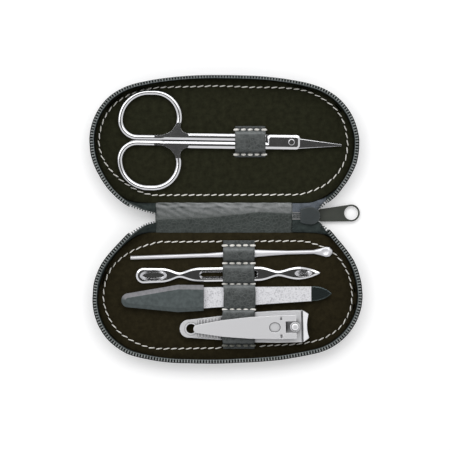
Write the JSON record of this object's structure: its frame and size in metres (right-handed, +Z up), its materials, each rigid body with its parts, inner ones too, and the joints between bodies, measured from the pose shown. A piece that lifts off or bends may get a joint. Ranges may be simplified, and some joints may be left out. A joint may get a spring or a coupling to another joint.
{
  "type": "manicure set case",
  "caption": "Oval zip-round leather case lying open, with nail scissors in its lid and an ear pick, cuticle tool, nail file and nail clipper strapped in its base.",
  "frame": {"origin": "on the table, under the middle of the fold between the two halves", "axes": "+X along the fold towards the zip's slider, +Y from the fold into the lid, +Z up from the table"},
  "size_m": [0.1108, 0.119, 0.0108],
  "materials": {
    "cover_leather": "grained black imitation leather, semi-matt",
    "board": "grey-brown stiffening board, matt",
    "velour": "short black velour pile",
    "thread": "off-white twisted thread",
    "zip_tape": "dark grey woven tape",
    "coil": "black nylon coil",
    "strip_leather": "pebble-grained black imitation leather",
    "loop_leather": "pebble-grained black imitation leather",
    "gunmetal": "dark plated, worn bright at the edges",
    "polished_steel": "polished nickel plate",
    "satin_steel": "satin nickel plate",
    "handle_plastic": "glossy black plastic",
    "grit": "fine sparkling grit"
  },
  "bodies": {
    "base": {"base_cover": "cover_leather", "base_board": "board", "base_lining": "velour", "base_stitching": "thread", "base_zip_tape": "zip_tape", "base_zip_coil": "coil", "tool_strap": "loop_leather", "tool_strap_stitching": "thread"},
    "spine": {"spine_cover": "cover_leather", "spine_facing": "strip_leather", "zip_start_tape": "zip_tape", "zip_start_coil": "coil", "zip_end_tape": "zip_tape", "zip_end_coil": "coil"},
    "lid": {"lid_cover": "cover_leather", "lid_board": "board", "lid_lining": "velour", "lid_stitching": "thread", "lid_zip_tape": "zip_tape", "lid_zip_coil": "coil", "scissors_loop": "loop_leather", "scissors_loop_stitching": "thread"},
    "slider": {"slider_body": "gunmetal"},
    "pull_tab": {"pull_tab": "gunmetal"},
    "scissors": {"scissors_under_half": "polished_steel", "scissors_screw": "polished_steel"},
    "scissors_second_half": {"scissors_over_half": "polished_steel"},
    "ear_pick": {"ear_pick": "polished_steel"},
    "cuticle_tool": {"cuticle_tool": "polished_steel"},
    "file": {"file_handle": "handle_plastic", "file_blade": "polished_steel", "file_grit": "grit"},
    "clipper": {"clipper_lower_arm": "satin_steel", "clipper_upper_arm": "satin_steel", "clipper_eyelet": "satin_steel", "clipper_pin": "polished_steel"},
    "clipper_lever": {"clipper_lever": "satin_steel"}
  },
  "joints": [
    {"name": "lid_fold", "type": "hinge", "parent": "spine", "child": "lid", "pos_m": [0, 0.0064, 0.0024], "axis": [1, 0, 0], "range_deg": [0, 90]},
    {"name": "spine_fold", "type": "hinge", "parent": "base", "child": "spine", "pos_m": [0, -0.0064, 0.0024], "axis": [1, 0, 0], "range_deg": [0, 90]},
    {"name": "slider_travel", "type": "slide", "parent": "spine", "child": "slider", "axis": [1, 0, 0], "range_m": [-0.0028, 0]},
    {"name": "pull_tab_swing", "type": "hinge", "parent": "slider", "child": "pull_tab", "pos_m": [0.0372, 0.0008, 0.0011], "axis": [-0.0767, 0.9971, 0], "range_deg": [0, 160]},
    {"name": "scissors_slide", "type": "slide", "parent": "lid", "child": "scissors", "axis": [1, 0, 0], "range_m": [-0.003, 0.003]},
    {"name": "scissors_pivot", "type": "hinge", "parent": "scissors", "child": "scissors_second_half", "pos_m": [0.0273, 0.0313, 0.00385], "axis": [0, 0, 1], "range_deg": [0, 0.9]},
    {"name": "ear_pick_slide", "type": "slide", "parent": "base", "child": "ear_pick", "axis": [1, 0, 0], "range_m": [-0.0045, 0.001]},
    {"name": "cuticle_tool_slide", "type": "slide", "parent": "base", "child": "cuticle_tool", "axis": [1, 0, 0], "range_m": [-0.006, 0.006]},
    {"name": "file_slide", "type": "slide", "parent": "base", "child": "file", "axis": [1, 0, 0], "range_m": [-0.007, 0.003]},
    {"name": "clipper_slide", "type": "slide", "parent": "base", "child": "clipper", "axis": [1, 0, 0], "range_m": [-0.002, 0.005]},
    {"name": "clipper_lever_turn", "type": "hinge", "parent": "clipper", "child": "clipper_lever", "pos_m": [0.0286, -0.04505, 0.0093], "axis": [0, 0, 1], "range_deg": [-60, 12]}
  ],
  "couplings": [
    {"joint": "lid_fold", "follows": "spine_fold", "ratio": 1}
  ]
}
